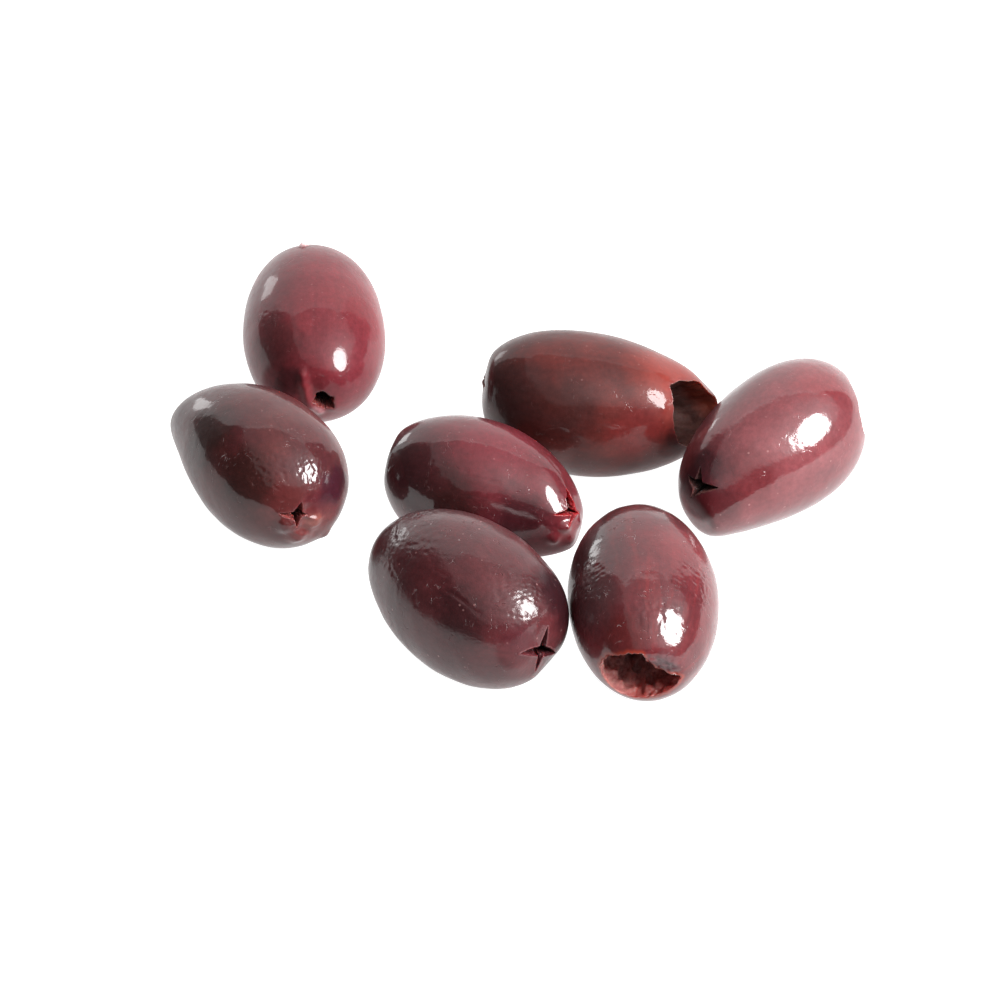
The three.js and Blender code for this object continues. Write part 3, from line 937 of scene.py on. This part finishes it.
# The least ripe skin, pinkish, flecked and thickly oiled, with wide pale reflections.
PINK_LOOK = dict(
    ROSY_LOOK, deep="5A2A2E", warm="663034", streak="502428", flecks=0.25,
    patches=(
        ((7.0, 5.6, 3.8), 5.0, "50181C", 0.8),
        ((10.5, 0.5, 4.5), 5.5, "2A0E12", 0.9),
        ((-7.6, 1.9, 7.4), 5.0, "6A2226", 0.5),
        ((12.8, 2.2, 2.2), 3.6, "3C1014", 0.85), ((11.6, 4.8, 2.0), 3.8, "3C1014", 0.85),
        ((-9.6, 3.0, 6.0), 4.0, "5A2024", 0.5),
    ),
    dry=(((12.6, 1.2, 2.6), 3.8, 0.95),),
    rim="30101A", flesh="3A2222", flesh_light="4E2E2C", inside="342826",
    oil=0.62, pebble_mm=0.014, oil_rough=0.085,
)
olive_piece(right, brined_olive("pink_brined_olive", PINK_LOOK))


# ---- Olive at the front left ----
# The darkest and largest olive, plum purple with fine wrinkles and pale flecks where its skin has
# begun to slacken, and with its cut in profile at the right end.
front_left = {
    "node": "olive_front_left", "slot": "dark_plum_olive_skin", "seed": 16,
    "place": (-6.2, -25.6), "heading": -48.9, "pitch": -1.2,
    "length": 27.5, "width": 18.5, "taper": 0.07, "blunt": (0.83, 0.99), "squash": 0.98,
    "bend": 0.0, "arch": 0.0, "front_lean": (-0.15, 0.15), "back_lean": (-0.65, -0.1),
    "lumps": ((9.0, 0.06), (3.0, 0.03), (1.5, 0.012), (0.8, 0.005)),
    "swellings": (((12.6, 2.4, -3.8), 1.8, -0.5), ((9.8, 6.9, 1.8), 4.0, 0.2)),
    "creases": (
        ((4.2, -6.0, 6.6), (8.8, -5.4, 5.5), 0.25, 0.06),
        ((3.6, -6.3, 6.5), (6.7, -5.8, 6.2), 0.2, 0.08),
        ((-2.6, -7.8, 4.4), (-1.7, -8.7, 2.6), 0.2, 0.06),
        ((0.0, -7.8, 4.9), (1.0, -8.5, 3.7), 0.2, 0.07),
        ((-10.1, -1.3, 5.8), (-7.9, -3.8, 6.2), 0.2, -0.12),
        ((-11.7, -0.3, 4.5), (-11.0, 0.7, 5.1), 0.2, -0.12),
        ((0.9, -5.5, 7.3), (3.1, -5.1, 7.5), 0.2, 0.06),
    ),
    "wrinkles": (
        ((-4.7, -4.5, 7.1), 6.0, 0.5, 0.05), ((-10.0, 2.0, 5.5), 4.5, 0.4, 0.1),
        ((9.0, -1.0, 6.5), 5.0, 0.4, 0.05),
    ),
    "front": {
        "turn": 1, "lift": 0, "patch": 5.0, "heart": 0.45, "depth": 2.5, "lip": 0.15, "curl": 0.12,
        "arms": ((-103, 3.0, 0.4), (-38, 3.2, 0.6), (70, 3.4, 0.45), (160, 3.2, 0.6)),
        "flaps": (0.2, 0.1, 0.0, 0.05),
    },
    "back": dict(PUNCHED_HOLE, turn=0, lift=0, centre=(-0.6, -0.1)),
}
# Plum skin gone slack and finely wrinkled, so its reflections are soft and grainy.
DARK_PLUM_LOOK = dict(
    ROSY_LOOK, deep="3A171A", warm="481E21", streak="2E1214", flecks=0.3,
    patches=(
        # The two near-black patches on the right side, where this olive touches the one at the front right,
        # are painted shade.
        ((12.9, -2.8, 3.0), 3.5, "3C141A", 0.7), ((11.0, 4.4, 4.6), 4.5, "1E0A0E", 0.85),
        ((7.0, -7.0, 4.5), 4.5, "241012", 0.7), ((9.0, 6.8, 2.6), 5.5, "1E0A0E", 0.85),
        ((-10.0, -2.0, 5.0), 6.0, "3A1C1E", 0.4),
    ),
    dry=(
        ((11.6, 4.6, 2.2), 4.2, 0.85), ((9.0, 7.6, 1.6), 4.0, 0.8), ((9.6, 4.6, 5.6), 3.2, 0.5),
        ((13.0, -3.2, 1.6), 3.0, 0.6),
    ),
    rim="7A5052", rim_mm=0.3, rim_strength=0.4, flesh="401A1E", flesh_light="54262A", inside="301618",
    oil=0.4, pebble_size=0.357, pebble_mm=0.026, crease_mm=0.12, scuffs_and_glints=0.12, oil_rough=0.13,
)
olive_piece(front_left, brined_olive("dark_plum_brined_olive", DARK_PLUM_LOOK))


# ---- Olive at the front right ----
# A maroon olive with its near end broken off: the stone's hollow stands open, with a ragged upper
# edge, a tongue of skin tucked in at the right, and a thin, red, see-through rim below.
front_right = {
    "node": "olive_front_right", "slot": "maroon_olive_skin", "seed": 17,
    "place": (14.6, -26.2), "heading": -86.4, "pitch": -2.1,
    "length": 28.1, "width": 17.5, "taper": -0.02, "blunt": (0.84, 0.89), "squash": 0.975,
    "bend": -0.4, "arch": -0.05, "front_lean": (0.15, 0.0), "back_lean": (0.65, 0.0),
    "lumps": ((9.0, 0.05), (3.5, 0.03), (1.5, 0.015), (0.8, 0.006)),
    "swellings": (((11.4, 1.8, 5.0), 3.0, -0.15), ((0.9, -8.5, 0.9), 5.0, 0.12)),
    "wrinkles": (
        ((1.5, -7.0, 5.0), 4.0, 0.35, 0.06), ((9.5, 0.5, 6.6), 3.6, 0.4, 0.05),
        ((4.0, 6.0, 6.0), 4.0, 0.35, 0.05),
    ),
    "front": {
        "turn": -8, "lift": 0, "mouth": (12.3, -1.0, -0.2), "patch": 6.7, "depth": 8.0, "lip": 0.22,
        "rim": (
            (-169, 4.65), (-150, 4.28), (-130, 3.54), (-93, 3.1), (-48, 3.23), (-22, 4.14), (0, 4.6),
            (17, 5.03), (33, 5.16), (60, 4.11), (94, 3.39), (133, 3.8), (155, 4.8), (176, 4.97),
        ),
        "eased": 6, "ragged": 0.12, "rough": 0.5, "folds": 0.6, "tongue": (44, 48, 1.5, 1.5),
    },
    "back": {
        "turn": -3, "lift": 0, "patch": 4.4, "heart": 0.7, "depth": 5.0, "lip": 0.2,
        "arms": ((-135, 2.4, 0.35), (-45, 2.2, 0.35), (45, 2.4, 0.3), (135, 2.3, 0.35)),
        "flaps": (0.05, 0.0, 0.1, 0.05),
    },
}
# Maroon skin with redder streaks, thickly oiled and dimpled, and wet red flesh in its hollow.
MAROON_LOOK = dict(
    ROSY_LOOK, deep="42161A", warm="521E22", streak="651E20", streaks=0.6,
    patches=(
        ((11.3, -3.5, 4.2), 4.5, "4A1818", 0.7),
        ((-1.4, 4.4, 7.5), 5.0, "5C2024", 0.6),
        ((-4.0, -7.0, 4.0), 6.0, "2E1214", 0.8), ((5.0, -6.6, 5.0), 6.0, "42282A", 0.8),
        ((13.2, 1.8, 1.4), 2.4, "4A3438", 0.7),
    ),
    rim="8A3220", rim_mm=0.6, rim_strength=0.7, flesh="8A4644", flesh_light="B87A74", flesh_soft=0.5,
    flesh_patches=(((12.4, 0.5, -4.0), 4.2, "7A221C", 0.8), ((12.2, 3.4, -1.0), 3.6, "842620", 0.8)),
    inside="664240", dark_from=0.4, dark_to=1.0, dry=(), torn_mm=0.6, pebble_mm=0.018,
    crease_mm=0.12, scuffs_and_glints=0.15, oil=0.53, oil_rough=0.05,
)
olive_piece(front_right, brined_olive("maroon_brined_olive", MAROON_LOOK))


# ---- Table and light ----
# A white light table, softly lit from below so that shadows all but vanish, with one oval softbox
# at the right, a wide dim panel overhead that is brightest to the right of its middle, a tall white
# backdrop behind, and a small softbox low at the back left.
table_white = bpy.data.materials.new("lit_white_acrylic")
table_white.use_nodes = True
table_shader = table_white.node_tree.nodes["Principled BSDF"]
table_shader.inputs["Base Color"].default_value = colour("959595")
table_shader.inputs["Roughness"].default_value = 0.7
table_shader.inputs["Emission Color"].default_value = (1.0, 1.0, 1.0, 1.0)
table_shader.inputs["Emission Strength"].default_value = 1.0
TABLE_REACH = 20.0
TABLE_DROP = 1e-5
table_corners = [
    (TABLE_REACH * x, TABLE_REACH * y, -TABLE_DROP) for x, y in ((-1, -1), (1, -1), (1, 1), (-1, 1))
]
table_mesh = bpy.data.meshes.new("light_table")
table_mesh.from_pydata(table_corners, [], [(0, 1, 2, 3)])
table_mesh.materials.append(table_white)
table = bpy.data.objects.new("light_table", table_mesh)
bpy.context.scene.collection.objects.link(table)


def area_light(name, shape, width, height, brightness, place, turn):
    """A flat light of even brightness, placed in metres and turned in degrees."""
    lamp = bpy.data.lights.new(name, "AREA")
    lamp.shape = shape
    lamp.size = width
    lamp.size_y = height
    area = width * height * (math.pi / 4 if shape == "ELLIPSE" else 1.0)
    lamp.energy = brightness * math.pi * area
    box = bpy.data.objects.new(name, lamp)
    box.location = place
    box.rotation_euler = tuple(math.radians(angle) for angle in turn)
    box.visible_camera = False
    bpy.context.scene.collection.objects.link(box)
    return lamp


KEY_BEARING = 113
KEY_RISE = 38
KEY_REACH = 0.55
key_level = KEY_REACH * math.cos(math.radians(KEY_RISE))
key_place = (
    key_level * math.sin(math.radians(KEY_BEARING)),
    key_level * math.cos(math.radians(KEY_BEARING)),
    KEY_REACH * math.sin(math.radians(KEY_RISE)),
)
area_light("key_softbox", "ELLIPSE", 0.26, 0.345, 35.0, key_place, (90 - KEY_RISE, 0, 180 - KEY_BEARING))
area_light("lit_backdrop", "RECTANGLE", 1.43, 1.23, 1.5, (0.0, 0.6, 0.615), (90, 0, 180))
area_light("strip_softbox", "RECTANGLE", 0.12, 0.14, 5.0, (-0.37, 0.5, 0.09), (90, 0, 216))

panel = area_light("overhead_panel", "RECTANGLE", 1.9, 1.365, 1.0, (0.45, -0.2975, 0.7), (0, 0, 0))
panel.use_nodes = True
panel_tree = panel.node_tree
panel_place = add_node(panel_tree, "NewGeometry").outputs["Parametric"]
panel_away = add_node(panel_tree, "VectorMath", {
    0: panel_place, 1: (0.68, 0.5, 0.0),
}, operation="DISTANCE")
panel_glow = add_node(panel_tree, "MapRange", {
    "Value": panel_away.outputs["Value"], "From Min": 0.05, "From Max": 0.65, "To Min": 2.4, "To Max": 0.6,
}, interpolation_type="SMOOTHSTEP")
panel_tree.links.new(panel_glow.outputs["Result"], panel_tree.nodes["Emission"].inputs["Strength"])

world = bpy.data.worlds.new("dim_studio")
world.use_nodes = True
world.node_tree.nodes["Background"].inputs["Color"].default_value = (1.0, 1.0, 1.0, 1.0)
world.node_tree.nodes["Background"].inputs["Strength"].default_value = 0.06
bpy.context.scene.world = world

view = bpy.context.scene.view_settings
view.view_transform = "Standard"
view.look = "None"
view.exposure = 0.0
view.gamma = 1.0
